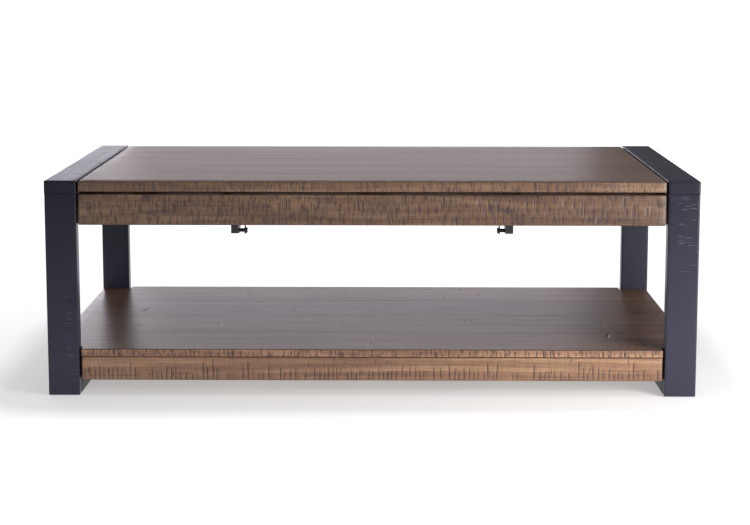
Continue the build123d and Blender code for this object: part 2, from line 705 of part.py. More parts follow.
save("shelf_front_rail", long_board(SHELF_RAIL_Z0, SHELF_Z0, -1, SHELF_BLOCK_SCREWS))
save("shelf_rear_rail", long_board(SHELF_RAIL_Z0, SHELF_Z0, 1, SHELF_BLOCK_SCREWS))
lower_leg_z = (RUNNER_TOP, RUNNER_TOP + BRACKET_LEG)
side_rail = side_board(SHELF_RAIL_Z0, SHELF_Z0, lower_leg_z, LOWER_SCREWS + SHELF_BLOCK_SCREWS)
save_pair("shelf_side_rail", side_rail)
shelf_planks = plank_rows(SHELF_ROWS, BODY_Y, SHELF_END_X, SHELF_Z0, SHELF_TOP, CLEAT_SCREWS)
for number, plank in enumerate(shelf_planks, 1):
    save(f"shelf_plank_{number}", notched_for_posts(plank))
cleats = strips(CLEAT_WIDTH, APRON_INNER_Y, SHELF_Z0 - CLEAT_THICK, SHELF_Z0, CLEAT_X, CLEAT_SCREWS)
save("shelf_cleats", *cleats)
blocks = corner_blocks(LEDGER_INNER_Y, APRON_Z0, APRON_TOP, APRON_BLOCK_SCREWS)
blocks += corner_blocks(APRON_INNER_Y, SHELF_RAIL_Z0, SHELF_Z0, SHELF_BLOCK_SCREWS)
save("corner_blocks", *both_sides(blocks))

box_screws = UPPER_SCREWS + LOWER_SCREWS + APRON_BLOCK_SCREWS + SHELF_BLOCK_SCREWS + LEDGER_SCREWS
frame_screws = screws_at(mirrored(box_screws) + CLEAT_SCREWS)
frame_screws += screws_at(mirrored(BASE_SCREWS), countersunk=True)
save("frame_screws", *frame_screws)

save_pair("base_bracket", base_bracket())
save_pair("base_pins", *base_pins())
save("spring_anchors", *both_sides([spring_post(SPRING_ANCHOR, RAIL_INNER_X)]))
for name, pivot in (("front_arm", FRONT_PIVOT), ("rear_arm", REAR_PIVOT)):
    save_pair(name, arm(pivot, with_stud=name == "rear_arm"))
    save_pair(f"{name}_bushes", *arm_bushes(pivot))
save_pair("spring_stud", spring_post(SPRING_STUD, ARM_X1))
save_pair("spring", spring())
save_pair("top_bracket", top_bracket())
save_pair("top_pins", *top_pins())

top_screws = BATTEN_SCREWS + mirrored(TOP_BRACKET_SCREWS)
for number, plank in enumerate(plank_rows(TOP_ROWS, TOP_Y, PANEL_X, TOP_Z0, TOP_Z1, top_screws), 1):
    if number == 1:
        left_stave, right_stave = split_at(plank, TOP_BUTT_JOINT_X)
        save("top_plank_1_left", left_stave)
        save("top_plank_1_right", right_stave)
    else:
        save(f"top_plank_{number}", plank)
battens = strips(BATTEN_WIDTH, BATTEN_REACH, TOP_Z0 - BATTEN_THICK, TOP_Z0, BATTEN_X, BATTEN_SCREWS)
save("top_battens", *battens)
save("top_screws", *screws_at(top_screws))
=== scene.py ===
import math
import random

import bpy
import numpy as np
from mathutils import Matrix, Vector


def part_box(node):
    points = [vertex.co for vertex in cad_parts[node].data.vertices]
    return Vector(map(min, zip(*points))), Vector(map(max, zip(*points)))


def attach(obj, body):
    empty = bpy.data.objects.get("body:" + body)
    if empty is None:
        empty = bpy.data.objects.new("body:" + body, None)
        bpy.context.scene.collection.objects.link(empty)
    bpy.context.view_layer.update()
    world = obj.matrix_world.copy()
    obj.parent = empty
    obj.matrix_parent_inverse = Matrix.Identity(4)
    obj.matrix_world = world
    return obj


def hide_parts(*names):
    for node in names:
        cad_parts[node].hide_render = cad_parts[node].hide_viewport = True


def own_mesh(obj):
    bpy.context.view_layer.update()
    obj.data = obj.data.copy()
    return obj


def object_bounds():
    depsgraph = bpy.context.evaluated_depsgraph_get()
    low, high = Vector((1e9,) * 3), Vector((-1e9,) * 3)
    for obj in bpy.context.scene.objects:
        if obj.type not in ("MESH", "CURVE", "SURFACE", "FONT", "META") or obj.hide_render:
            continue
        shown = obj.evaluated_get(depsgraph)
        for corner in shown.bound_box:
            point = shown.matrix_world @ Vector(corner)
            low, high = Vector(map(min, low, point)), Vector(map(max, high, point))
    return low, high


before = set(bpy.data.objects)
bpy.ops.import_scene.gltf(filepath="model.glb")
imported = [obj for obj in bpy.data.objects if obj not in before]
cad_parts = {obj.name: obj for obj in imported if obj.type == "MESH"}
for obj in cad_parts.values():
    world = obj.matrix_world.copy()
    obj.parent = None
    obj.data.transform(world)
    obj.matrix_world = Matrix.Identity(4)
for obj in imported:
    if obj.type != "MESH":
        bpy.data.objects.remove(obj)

cad_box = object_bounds()

# Lift-top coffee table. The CAD frame holds every place and size, in metres: X along the table,
# -Y the front, Z up. Boards that show are rebuilt here with worn rims and real saw marks.
X, Y, Z = range(3)

# ---- Camera: low, in front, a little right of the middle. Metres, degrees, and mm for its lens ----
CAMERA_PLACE = (0.040, -3.789, 0.896)
CAMERA_PITCH = 7.452
CAMERA_YAW = -0.555
CAMERA_ROLL = 0.029
FOCAL_LENGTH = 79.6992
SENSOR_WIDTH = 36.0
LENS_SHIFT = -0.1

# ---- Rounded rims of the boards: radii, the wear, and the tilt that counts as the middle of a rim ----
WOOD_RIM = 0.0016
RAIL_RIM = 0.0026
PAINTED_RIM = 0.0017
SEAM_RIM = 0.0004
RIM_WEAR = 0.0004
RIM_TILT = 0.29

# ---- Spacing of the boards' mesh lines: on plain faces, along nicks, and the least that is kept ----
FACE_STEP = 0.025
CUT_STEP = 0.0035
LINE_GAP = 0.0001

# ---- Room between the shelf's notches and the posts ----
NOTCH_GAP = 0.001

# ---- Colours, linear ----
WALNUT_STAINS = (
    (0.34, (0.068, 0.035, 0.023)),
    (0.50, (0.160, 0.088, 0.052)),
    (0.66, (0.270, 0.163, 0.094)),
)
GLAZE = (0.018, 0.014, 0.028, 1.0)
PAINT = (0.010, 0.0095, 0.020, 1.0)
# Painted floor bounce: the paint's lighter colour near the floor, standing in for light bounced up from it.
PAINT_FLOOR_BOUNCE = (0.040, 0.038, 0.062, 1.0)
PAINT_RIDGE = (0.060, 0.060, 0.092, 1.0)
PAINT_WORN = (0.13, 0.13, 0.18, 1.0)
PAINT_CUT = (0.12, 0.12, 0.17, 1.0)
INNER_WOOD_STAINS = (
    (0.36, (0.19, 0.115, 0.062, 1.0)),
    (0.52, (0.33, 0.21, 0.12, 1.0)),
    (0.70, (0.46, 0.32, 0.19, 1.0)),
)


# ======== Meshes ========
def lines_along(low, high, rim, step, extra):
    """Sorted places of the mesh lines along one axis: two rounded rims, an even step, extra lines."""
    ends = [0.0, 0.3 * rim, rim]
    places = [low + end for end in ends] + [high - end for end in ends]
    places += list(np.linspace(low + rim, high - rim, max(2, round((high - low) / step))))
    places += [place for place in extra if low + rim < place < high - rim]
    kept = []
    for place in sorted(places):
        if not kept or place - kept[-1] > LINE_GAP:
            kept.append(place)
    return np.array(kept)


def shell(lines, notches):
    """Corner points and outward quads of a board on a lattice of lines, less its notches.

    Lattice cells with their middle in a notch are left out, and each wall between a solid cell and
    an empty one becomes a quad.
    """
    solid = np.ones([len(line) - 1 for line in lines], dtype=bool)
    for low, high in notches:
        inside = [
            (middle > low[axis]) & (middle < high[axis])
            for axis, middle in enumerate((line[:-1] + line[1:]) / 2 for line in lines)
        ]
        solid &= ~(inside[X][:, None, None] & inside[Y][None, :, None] & inside[Z][None, None, :])
    counts = [len(line) for line in lines]
    strides = (counts[1] * counts[2], counts[2], 1)
    quads = []
    for axis in (X, Y, Z):
        margins = [(1, 1) if other == axis else (0, 0) for other in (X, Y, Z)]
        change = np.diff(np.pad(solid, margins).astype(np.int8), axis=axis)
        first, second = [strides[other] for other in (X, Y, Z) if other != axis]
        for sign in (-1, 1):
            corner = np.argwhere(change == -sign) @ strides
            ring = [corner, corner + first, corner + first + second, corner + second]
            if (sign > 0) != (axis != Y):
                ring.reverse()
            quads.append(np.stack(ring, axis=1))
    used, quads = np.unique(np.concatenate(quads), return_inverse=True)
    index = np.stack(np.unravel_index(used, counts), axis=1)
    points = np.stack([lines[axis][index[:, axis]] for axis in (X, Y, Z)], axis=1)
    return points, quads.reshape(-1, 4)


def smooth_object(name, mesh):
    """New object in the scene, shaded smooth."""
    piece = bpy.data.objects.new(name, mesh)
    bpy.context.collection.objects.link(piece)
    mesh.polygons.foreach_set("use_smooth", [True] * len(mesh.polygons))
    return piece


def write_attribute(piece, name, values):
    """One number for each point of a mesh, for its material to read."""
    attribute = piece.data.attributes.new(name, "FLOAT", "POINT")
    attribute.data.foreach_set("value", np.asarray(values, dtype=np.float32))


# The axis that each side of a board looks along, and which way.
SIDES = {"front": (Y, -1), "rear": (Y, 1), "top": (Z, 1), "left": (X, -1), "right": (X, 1)}


class Cut:
    """A straight nick in one face: where it is, how long, wide and deep, and how far it leans.

    across and along are its middle's places, on the axis across it and on the one it runs along.
    """

    def __init__(self, side, across_axis, across, along, half_width, half_length, depth, slant):
        self.side = side
        self.across_axis = across_axis
        self.along_axis = 3 - SIDES[side][0] - across_axis
        self.across = across
        self.along = along
        self.half_width = half_width
        self.half_length = half_length
        self.depth = depth
        self.slant = slant

    def lines(self):
        """Mesh lines that give the nick its edges and its floor."""
        drift = abs(self.slant) * self.half_length
        edge = self.half_width + drift
        return [self.across - edge, self.across - drift / 2, self.across + drift / 2, self.across + edge]

    def profile(self, points):
        """How deep each point lies in the nick, from 0 outside it to 1 on its floor.

        Its walls are steep, and its ends run out over a third of its half length.
        """
        offset = points[:, self.along_axis] - self.along
        middle = self.across + self.slant * offset
        aside = np.abs(points[:, self.across_axis] - middle) / self.half_width
        beyond = np.abs(offset) / self.half_length
        return np.clip(1.15 - aside, 0, 1) * np.clip(3.0 * (1 - beyond), 0, 1)


def waver(places, seed, wavelength):
    """Smooth noise from 0 to 1 along a line, made of a few sine waves."""
    source = random.Random(seed)
    total = np.zeros_like(places)
    for octave in range(4):
        frequency = 2 * math.pi / wavelength * 1.9**octave
        total += np.sin(places * frequency + source.uniform(0, 6.28)) / 1.6**octave
    return np.clip(0.5 + 0.28 * total, 0, 1)


def board_lines(low, high, rim, cuts, notches):
    """The mesh lines of a board on each axis, with those that its nicks and notches need."""
    extra = [[], [], []]
    steps = [FACE_STEP] * 3
    for cut in cuts:
        extra[cut.across_axis] += cut.lines()
        steps[cut.along_axis] = CUT_STEP
    for notch in notches:
        for axis in (X, Y, Z):
            extra[axis] += [corner[axis] for corner in notch]
    return [lines_along(low[axis], high[axis], rim, steps[axis], extra[axis]) for axis in (X, Y, Z)]


def round_rims(points, low, high, rim, seams):
    """A board's points with its rims rounded, which way each one looks, and how near a rim it is."""
    low_rim = np.full(3, rim)
    high_rim = np.full(3, rim)
    for axis, end in seams:
        (low_rim if end < 0 else high_rim)[axis] = SEAM_RIM
    core = np.clip(points, low + low_rim, high - high_rim)
    away = points - core
    reach = np.where(away < 0, low_rim, high_rim)
    outward = away / reach
    outward = outward / np.maximum(np.linalg.norm(outward, axis=1, keepdims=True), 1e-9)
    rimness = np.clip((1 - np.abs(outward).max(axis=1)) / RIM_TILT, 0, 1)
    return core + outward * reach, outward, rimness


def rim_wear(along, rimness, seed):
    """How much of each point near a rim has worn away, in uneven nibbles along the board."""
    nibble = waver(along, seed, 0.05) * waver(along, seed + 1, 0.21)
    return RIM_WEAR * nibble * np.clip(rimness * 2, 0, 1)


def sink_nicks(places, points, outward, cuts):
    """Push the nicks into the faces of a board, and give how deep in a nick each point lies."""
    depth = np.zeros(len(points))
    for cut in cuts:
        axis, end = SIDES[cut.side]
        on_face = outward[:, axis] * end > 0.6
        found = np.zeros(len(points))
        found[on_face] = cut.profile(points[on_face])
        places[:, axis] -= end * found * cut.depth * (found > depth)
        depth = np.maximum(depth, found)
    return depth


def board(node, body, material, rim, cuts, seams, seed, notches=()):
    """A board in place of its CAD node: rounded, slightly uneven rims and real nicks in its faces.

    seams lists (axis, end) pairs whose rims are tight glued joints instead of rounded edges.
    notches lists the (low, high) corners of the boxes cut out of it.
    """
    low, high = (np.array(corner, float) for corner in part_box(node))
    points, quads = shell(board_lines(low, high, rim, cuts, notches), notches)
    places, outward, rimness = round_rims(points, low, high, rim, seams)
    longest = int(np.argmax(high - low))
    places -= outward * rim_wear(points[:, longest], rimness, seed)[:, None]
    depth = sink_nicks(places, points, outward, cuts)
    name = node.replace("plank", "board") + "_wood"
    mesh = bpy.data.meshes.new(name)
    mesh.from_pydata(places.tolist(), [], quads.tolist())
    mesh.update()
    piece = smooth_object(name, mesh)
    write_attribute(piece, "cut", depth)
    write_attribute(piece, "rim", rimness)
    piece.data.materials.append(material)
    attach(piece, body)
    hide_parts(node)


# ======== Materials ========
class Shader:
    """A material being built: most calls add a node and give back the socket asked for."""

    def __init__(self, name):
        self.material = bpy.data.materials.new(name)
        self.material.use_nodes = True
        self.tree = self.material.node_tree
        self.tree.nodes.clear()
        self.surface = self.tree.nodes.new("ShaderNodeBsdfPrincipled")
        output = self.tree.nodes.new("ShaderNodeOutputMaterial")
        self.tree.links.new(self.surface.outputs[0], output.inputs[0])

    def put(self, socket, value):
        """Link a socket, or set its value."""
        if isinstance(value, bpy.types.NodeSocket):
            self.tree.links.new(value, socket)
        else:
            socket.default_value = value

    def finish(self, **values):
        """Set the surface's inputs, whose names are given with underscores."""
        for name, value in values.items():
            self.put(self.surface.inputs[name.replace("_", " ")], value)
        return self.material

    def node(self, kind, inputs, output=0, **settings):
        """Any other node, with its inputs and settings by name."""
        node = self.tree.nodes.new(kind)
        for name, value in settings.items():
            setattr(node, name, value)
        for name, value in inputs.items():
            self.put(node.inputs[name], value)
        return node.outputs[output]

    def place(self, scale=(1, 1, 1), shift=(0, 0, 0)):
        """The object's own coordinates, in metres, scaled and shifted."""
        own = self.node("ShaderNodeTexCoord", {}, "Object")
        return self.node("ShaderNodeMapping", {"Vector": own, "Scale": scale, "Location": shift})

    def noise(self, vector, scale, detail, roughness, distortion=0.0):
        """Cloudy noise from 0 to 1."""
        inputs = {
            "Vector": vector, "Scale": scale, "Detail": detail,
            "Roughness": roughness, "Distortion": distortion,
        }
        return self.node("ShaderNodeTexNoise", inputs, "Fac")

    def ramp(self, value, stops):
        """Colours or greys at places from 0 to 1."""
        node = self.tree.nodes.new("ShaderNodeValToRGB")
        self.put(node.inputs[0], value)
        elements = node.color_ramp.elements
        while len(elements) < len(stops):
            elements.new(0.5)
        for element, (place, colour) in zip(elements, stops):
            element.position = place
            element.color = colour if isinstance(colour, tuple) else (colour, colour, colour, 1)
        return node.outputs[0]

    def math(self, operation, first, second=0.0, third=0.0, clamp=False):
        """One sum, product or other operation on up to three numbers."""
        node = self.tree.nodes.new("ShaderNodeMath")
        node.operation = operation
        node.use_clamp = clamp
        for socket, value in zip(node.inputs, (first, second, third)):
            self.put(socket, value)
        return node.outputs[0]

    def mix(self, factor, first, second):
        """From the first colour to the second as the factor goes from 0 to 1."""
        node = self.tree.nodes.new("ShaderNodeMix")
        node.data_type = "RGBA"
        for number, value in ((0, factor), (6, first), (7, second)):
            self.put(node.inputs[number], value)
        return node.outputs[2]

    def attribute(self, name):
        """The number that write_attribute gave each point."""
        return self.node("ShaderNodeAttribute", {}, "Fac", attribute_name=name)

    def bump(self, height, strength, distance, normal=None):
        """The normal of a surface with a fine relief, on top of another relief's if one is given."""
        inputs = {"Height": height, "Strength": strength, "Distance": distance}
        if normal is not None:
            inputs["Normal"] = normal
        return self.node("ShaderNodeBump", inputs)

    def facing(self, axis):
        """1 on faces that look along an axis, either way, and 0 elsewhere."""
        normal = self.node("ShaderNodeTexCoord", {}, "Normal")
        return self.span(self.math("ABSOLUTE", self.part(normal, axis)), 0.4, 0.8, 0.0, 1.0)

    def part(self, vector, axis):
        """One of a vector's three numbers."""
        return self.node("ShaderNodeSeparateXYZ", {"Vector": vector}, axis)

    def span(self, value, start, end, first, last):
        """A value's place between start and end, as a number between first and last."""
        inputs = {"Value": value, "From Min": start, "From Max": end, "To Min": first, "To Max": last}
        return self.node("ShaderNodeMapRange", inputs)


# How far each board's own place in the noise is from the next seed's.
WALNUT_SPREAD = (0.731, 1.317, 0.463)
PAINT_SPREAD = (0.531, 0.917, 0.363)


def own_shift(seed, spread):
    """Where in the noise a board lies, so that no two look the same."""
    return tuple(seed * step for step in spread)


def grain_scale(grain, along, across):
    """Noise scale along the grain's axis, and across it."""
    return tuple(along if axis == grain else across for axis in (X, Y, Z))


def stained(tone):
    """The walnut colour stops, made lighter or darker by a factor."""
    return [(place, tuple(value * tone for value in stain) + (1,)) for place, stain in WALNUT_STAINS]


def walnut(name, seed, grain=X, tone=1.0, edge=1.0, speckle=0.5, patches=0.0):
    """Warm brown stained wood under a satin lacquer, with dark glaze left in its saw marks.

    edge is how much lighter the upright faces along the grain are painted, as painted light on them. speckle
    is the strength of the dark strokes there, and patches that of cloudy stains.
    """
    shader = Shader(name)
    shift = own_shift(seed, WALNUT_SPREAD)
    broad = shader.noise(shader.place(grain_scale(grain, 0.9, 5.0), shift), 1.0, 3.0, 0.5, 0.6)
    figure = shader.noise(shader.place(grain_scale(grain, 1.6, 34.0), shift), 1.0, 5.0, 0.6, 1.4)
    streak = shader.noise(shader.place(grain_scale(grain, 4.0, 190.0), shift), 1.0, 5.0, 0.65, 0.4)
    pores = shader.noise(shader.place(grain_scale(grain, 26.0, 900.0), shift), 1.0, 2.0, 0.5)
    blend = shader.math("MULTIPLY", figure, 0.5)
    blend = shader.math("MULTIPLY_ADD", streak, 0.25, blend)
    blend = shader.math("MULTIPLY_ADD", broad, 0.25, blend)
    upright = shader.facing(Y if grain == X else X)
    # Painted light: the upright faces along the grain get a lighter copy of the stain.
    colour = shader.mix(upright, shader.ramp(blend, stained(tone)), shader.ramp(blend, stained(tone * edge)))
    pore = shader.ramp(pores, [(0.34, 0.0), (0.46, 1.0)])
    colour = shader.mix(shader.math("MULTIPLY_ADD", pore, -0.3, 0.3), colour, GLAZE)
    stroke_scale = (210.0, 1.0, 36.0) if grain == X else (1.0, 210.0, 36.0)
    strokes = shader.noise(shader.place(stroke_scale, shift), 1.0, 3.0, 0.62)
    strokes = shader.ramp(strokes, [(0.50, 0.0), (0.60, 1.0)])
    strokes = shader.math("MULTIPLY", strokes, upright)
    colour = shader.mix(shader.math("MULTIPLY", strokes, speckle), colour, GLAZE)
    if patches:
        cloud = shader.noise(shader.place((14.0, 14.0, 20.0), shift), 1.0, 5.0, 0.7, 0.8)
        cloud = shader.ramp(cloud, [(0.52, 0.0), (0.70, 1.0)])
        colour = shader.mix(shader.math("MULTIPLY", cloud, patches), colour, GLAZE)
    cut = shader.math("MULTIPLY", shader.attribute("cut"), 0.9, clamp=True)
    colour = shader.mix(cut, colour, GLAZE)
    rim = shader.math("MULTIPLY", shader.attribute("rim"), shader.ramp(broad, [(0.4, 0.5), (0.6, 1.0)]))
    colour = shader.mix(rim, colour, GLAZE)
    rough = shader.math("MULTIPLY_ADD", streak, 0.16, 0.28)
    height = shader.math("MULTIPLY_ADD", pore, 0.5, streak)
    normal = shader.bump(height, 0.10, 0.0006)
    normal = shader.bump(strokes, 0.25, -0.0006, normal)
    return shader.finish(
        Base_Color=colour, Roughness=rough, Normal=normal, IOR=1.5, Specular_IOR_Level=0.35
    )


def inner_wood(name, seed, grain):
    """Plain planed wood of the parts that don't show when the table is closed."""
    shader = Shader(name)
    shift = own_shift(seed, WALNUT_SPREAD)
    figure = shader.noise(shader.place(grain_scale(grain, 2.0, 48.0), shift), 1.0, 5.0, 0.6, 1.2)
    streak = shader.noise(shader.place(grain_scale(grain, 6.0, 260.0), shift), 1.0, 4.0, 0.6)
    blend = shader.math("MULTIPLY_ADD", streak, 0.4, shader.math("MULTIPLY", figure, 0.6))
    colour = shader.ramp(blend, INNER_WOOD_STAINS)
    normal = shader.bump(streak, 0.15, 0.0005)
    rough = shader.math("MULTIPLY_ADD", figure, 0.15, 0.5)
    return shader.finish(Base_Color=colour, Roughness=rough, Normal=normal)


def painted_wood(name, seed, grain, floor_bounce=PAINT_FLOOR_BOUNCE):
    """Sawn wood under blue-black paint, rubbed lighter on its rims, and with painted light near the floor.

    The last argument is the painted floor bounce: the lighter colour, standing in for light bounced up from
    the floor, that the paint turns to near it.
    """
    shader = Shader(name)
    shift = own_shift(seed, PAINT_SPREAD)
    cloud = shader.noise(shader.place((7.0, 7.0, 7.0), shift), 1.0, 4.0, 0.6)
    fibre = shader.noise(shader.place(grain_scale(grain, 8.0, 160.0), shift), 1.0, 5.0, 0.6, 0.3)
    ridges = shader.noise(shader.place(grain_scale(grain, 520.0, 12.0), shift), 1.0, 2.0, 0.5)
    # Painted floor bounce light: the paint turns lighter towards the floor, with a cloudy edge.
    height = shader.part(shader.place(), Z)
    low = shader.math("MULTIPLY_ADD", height, -2.2, 0.95, clamp=True)
    low = shader.math("MULTIPLY_ADD", cloud, 0.3, low)
    colour = shader.mix(shader.math("SUBTRACT", low, 0.15, clamp=True), PAINT, floor_bounce)
    rubbed = shader.ramp(ridges, [(0.58, 0.0), (0.72, 1.0)])
    rubbed = shader.math("MULTIPLY", rubbed, shader.ramp(cloud, [(0.5, 0.0), (0.65, 0.25)]))
    colour = shader.mix(rubbed, colour, PAINT_RIDGE)
    wear = shader.math("MULTIPLY", shader.attribute("rim"), shader.ramp(fibre, [(0.45, 0.0), (0.65, 0.5)]))
    colour = shader.mix(wear, colour, PAINT_WORN)
    cut = shader.math("MULTIPLY", shader.attribute("cut"), 0.8, clamp=True)
    colour = shader.mix(cut, colour, PAINT_CUT)
    rough = shader.math("MULTIPLY_ADD", fibre, 0.16, 0.26)
    relief = shader.math("MULTIPLY_ADD", ridges, 0.7, fibre)
    normal = shader.bump(relief, 0.08, 0.0005)
    return shader.finish(
        Base_Color=colour, Roughness=rough, Normal=normal, IOR=1.5, Specular_IOR_Level=0.22
    )


def powder_coat():
    """Black powder coat over pressed steel, with its fine orange-peel skin."""
    shader = Shader("black_powder_coat")
    peel = shader.noise(shader.place(), 900.0, 3.0, 0.5)
    dust = shader.noise(shader.place(), 45.0, 4.0, 0.6)
    colour = shader.ramp(dust, [(0.3, (0.006, 0.006, 0.007, 1)), (0.75, (0.018, 0.018, 0.020, 1))])
    rough = shader.math("MULTIPLY_ADD", dust, 0.2, 0.32)
    return shader.finish(Base_Color=colour, Roughness=rough, Normal=shader.bump(peel, 0.12, 0.0002))


def steel(name, dark, light, rough):
    """Turned or drawn steel with fine marks."""
    shader = Shader(name)
    marks = shader.noise(shader.place((60.0, 700.0, 700.0)), 1.0, 4.0, 0.6)
    colour = shader.ramp(marks, [(0.3, dark), (0.7, light)])
    roughness = shader.math("MULTIPLY_ADD", marks, 0.2, rough)
    return shader.finish(
        Base_Color=colour, Roughness=roughness, Metallic=1.0, Normal=shader.bump(marks, 0.08, 0.0002)
    )


def moulded(name, dark, light, rough):
    """Moulded plastic or rubber with a faint cloud and a fine grain."""
    shader = Shader(name)
    grain = shader.noise(shader.place(), 1400.0, 3.0, 0.6)
    cloud = shader.noise(shader.place(), 60.0, 3.0, 0.5)
    colour = shader.ramp(cloud, [(0.3, dark), (0.7, light)])
    return shader.finish(
        Base_Color=colour, Roughness=rough, Normal=shader.bump(grain, 0.12, 0.0002)
    )


# ======== Saw marks and nicks ========
END_MARGIN = 0.004


def combs(node, side, count, source, length, keep=lambda share: 1.0, depth=0.0005):
    """Short upright saw strokes scattered over the front or rear of a board.

    keep gives the chance that a stroke stays, by its place along the board from 0 to 1.
    """
    low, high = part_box(node)
    made = []
    for _ in range(count):
        x = source.uniform(low[X] + END_MARGIN, high[X] - END_MARGIN)
        if source.random() > keep((x - low[X]) / (high[X] - low[X])):
            continue
        half = source.uniform(*length) / 2
        z = source.uniform(low[Z] + half, high[Z] - half)
        deep = depth * source.uniform(0.5, 1.0)
        made.append(Cut(side, X, x, z, source.uniform(0.0006, 0.0013), half, deep, slant(source)))
    return made


TOOTH_MARGIN = 0.006
TOOTH_SPACING = 0.0105
LONG_TEETH = 0.12
TEETH_KEPT = 0.85


def comb_teeth(node, side, source):
    """Upright saw strokes that rise from a rail's lower edge, about evenly spaced."""
    low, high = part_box(node)
    made = []
    x = low[X] + TOOTH_MARGIN
    while x < high[X] - TOOTH_MARGIN:
        half = source.uniform(0.008, 0.017)
        if source.random() < LONG_TEETH:
            half = source.uniform(0.018, 0.024)
        if source.random() < TEETH_KEPT:
            deep = source.uniform(0.0005, 0.0009)
            wide = source.uniform(0.0009, 0.0015)
            made.append(Cut(side, X, x, low[Z] + half, wide, half, deep, slant(source)))
        x += TOOTH_SPACING * source.uniform(0.7, 1.3)
    return made


def slant(source):
    """How far a stroke leans for each metre it runs."""
    return source.uniform(-0.06, 0.06)


SCRATCH_MARGIN = 0.006


def scratches(node, side, count, source, across_axis, half_length=(0.004, 0.010), zone=((0, 1), (0, 1))):
    """Fine saw scratches on a painted plank.

    zone gives where they may lie, from 0 to 1 of the plank: on the axis across them, then along.
    """
    low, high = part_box(node)
    along_axis = 3 - SIDES[side][0] - across_axis
    made = []
    for _ in range(count):
        half = source.uniform(*half_length)
        places = []
        for axis, share, margin in ((across_axis, zone[0], SCRATCH_MARGIN), (along_axis, zone[1], half)):
            start, end = low[axis] + margin, high[axis] - margin
            places.append(start + (end - start) * source.uniform(*share))
        wide = source.uniform(0.0003, 0.0006)
        deep = source.uniform(0.0001, 0.0002)
        made.append(Cut(side, across_axis, *places, wide, half, deep, source.uniform(-0.05, 0.05)))
    return made


# ======== The table ========
# Sides of a board that are tight against the next one: the axis and its end.
FRONT_JOINT, REAR_JOINT = (Y, -1), (Y, 1)
LEFT_JOINT, RIGHT_JOINT = (X, -1), (X, 1)
LOWER_JOINT, UPPER_JOINT = (Z, -1), (Z, 1)


def lift_top(seed=20):
    """The planks of the lifting top. The front one is in two lengths, the right one the rougher."""
    source = random.Random(seed)
    names = ["top_plank_1_left", "top_plank_1_right"]
    names += [f"top_plank_{number}" for number in range(2, 6)]
    for number, node in enumerate(names):
        cuts = []
        seams = [FRONT_JOINT, REAR_JOINT]
        if node == "top_plank_1_left":
            seams = [REAR_JOINT, RIGHT_JOINT]
            cuts = combs(node, "front", 30, source, (0.004, 0.010), lambda share: 0.35)
        if node == "top_plank_1_right":
            seams = [REAR_JOINT, LEFT_JOINT]
            cuts = combs(node, "front", 110, source, (0.004, 0.010), lambda share: 0.25 + 0.75 * share)
        if node == names[-1]:
            seams = [FRONT_JOINT]
            cuts = combs(node, "rear", 70, source, (0.004, 0.010))
        material = walnut(f"walnut_top_{number}", seed + number, tone=source.uniform(0.9, 1.1))
        board(node, "lift_top", material, WOOD_RIM, cuts, seams, seed + number)


def post_notches():
    """The corners of the shelf that are cut away for the posts, as (low, high) boxes."""
    panel_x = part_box("shelf_front_rail")[1][X]
    front_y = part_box("right_front_post")[1][Y] + NOTCH_GAP
    rear_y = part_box("right_rear_post")[0][Y] - NOTCH_GAP
    low, high = cad_box
    return [
        ((left, front, low[Z]), (right, rear, high[Z]))
        for front, rear in ((low[Y], front_y), (rear_y, high[Y]))
        for left, right in ((low[X], -panel_x), (panel_x, high[X]))
    ]


def busy_ends(share):
    """The shelf's front edge has most of its saw strokes near its ends."""
    return 0.95 if share < 0.3 or share > 0.78 else 0.3


def shelf(seed=50):
    """The planks of the shelf. The front and rear ones are notched round the posts."""
    source = random.Random(seed)
    for number in range(1, 5):
        node = f"shelf_plank_{number}"
        seams = [FRONT_JOINT, REAR_JOINT]
        notches = ()
        cuts = shelf_nicks(node, source)
        if number == 1:
            seams = [REAR_JOINT]
            notches = post_notches()
            cuts += combs(node, "front", 200, source, (0.005, 0.012), busy_ends)
        if number == 4:
            seams = [FRONT_JOINT]
            notches = post_notches()
            cuts += combs(node, "rear", 70, source, (0.005, 0.011))
        tone = source.uniform(0.92, 1.1)
        # The shelf planks' upright faces are painted 2.3 times lighter, as painted light.
        material = walnut(f"walnut_shelf_{number}", seed + number, tone=tone, edge=2.3, speckle=0.65)
        board(node, "frame", material, WOOD_RIM, cuts, seams, seed + number, notches)
    shelf_rails(source, seed + 10)


def shelf_rails(source, seed):
    """The front and rear rails under the shelf, with long teeth of saw strokes."""
    for node, side in (("shelf_front_rail", "front"), ("shelf_rear_rail", "rear")):
        cuts = comb_teeth(node, side, source)
        cuts += combs(node, side, 30, source, (0.008, 0.018), depth=0.0006)
        # The rails' upright faces are painted 1.9 times lighter, as painted light.
        material = walnut(f"walnut_{node}", seed, edge=1.9, speckle=0.12)
        board(node, "frame", material, RAIL_RIM, cuts, (), seed)
        seed += 1


NICKS_A_PLANK = 6
NICK_DEPTH = 0.0010


def shelf_nicks(node, source):
    """The few dents, about front to back, in the top of a shelf plank."""
    low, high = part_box(node)
    made = []
    for _ in range(NICKS_A_PLANK):
        x = source.uniform(low[X] + 0.06, high[X] - 0.06)
        y = source.uniform(low[Y] + 0.03, high[Y] - 0.03)
        wide = source.uniform(0.0014, 0.0022)
        half = source.uniform(0.014, 0.026)
        made.append(Cut("top", X, x, y, wide, half, NICK_DEPTH, source.uniform(-0.2, 0.2)))
    return made


def apron(seed=80):
    """The front and rear boards of the apron box, sawn rough all over."""
    source = random.Random(seed)
    for number, (node, side) in enumerate((("front_apron", "front"), ("rear_apron", "rear"))):
        cuts = combs(node, side, 170, source, (0.008, 0.026), depth=0.0006)
        material = walnut(f"walnut_{node}", seed + number, tone=0.9, speckle=0.6, patches=0.6)
        board(node, "frame", material, WOOD_RIM, cuts, (), seed + number)


# Where the scratches lie on a post, from 0 to 1 of its height and of its breadth.
POST_SCRATCH_ZONES = {"left": ((0.0, 0.5), (0.6, 1.0)), "right": ((0.6, 1.0), (0.2, 1.0))}


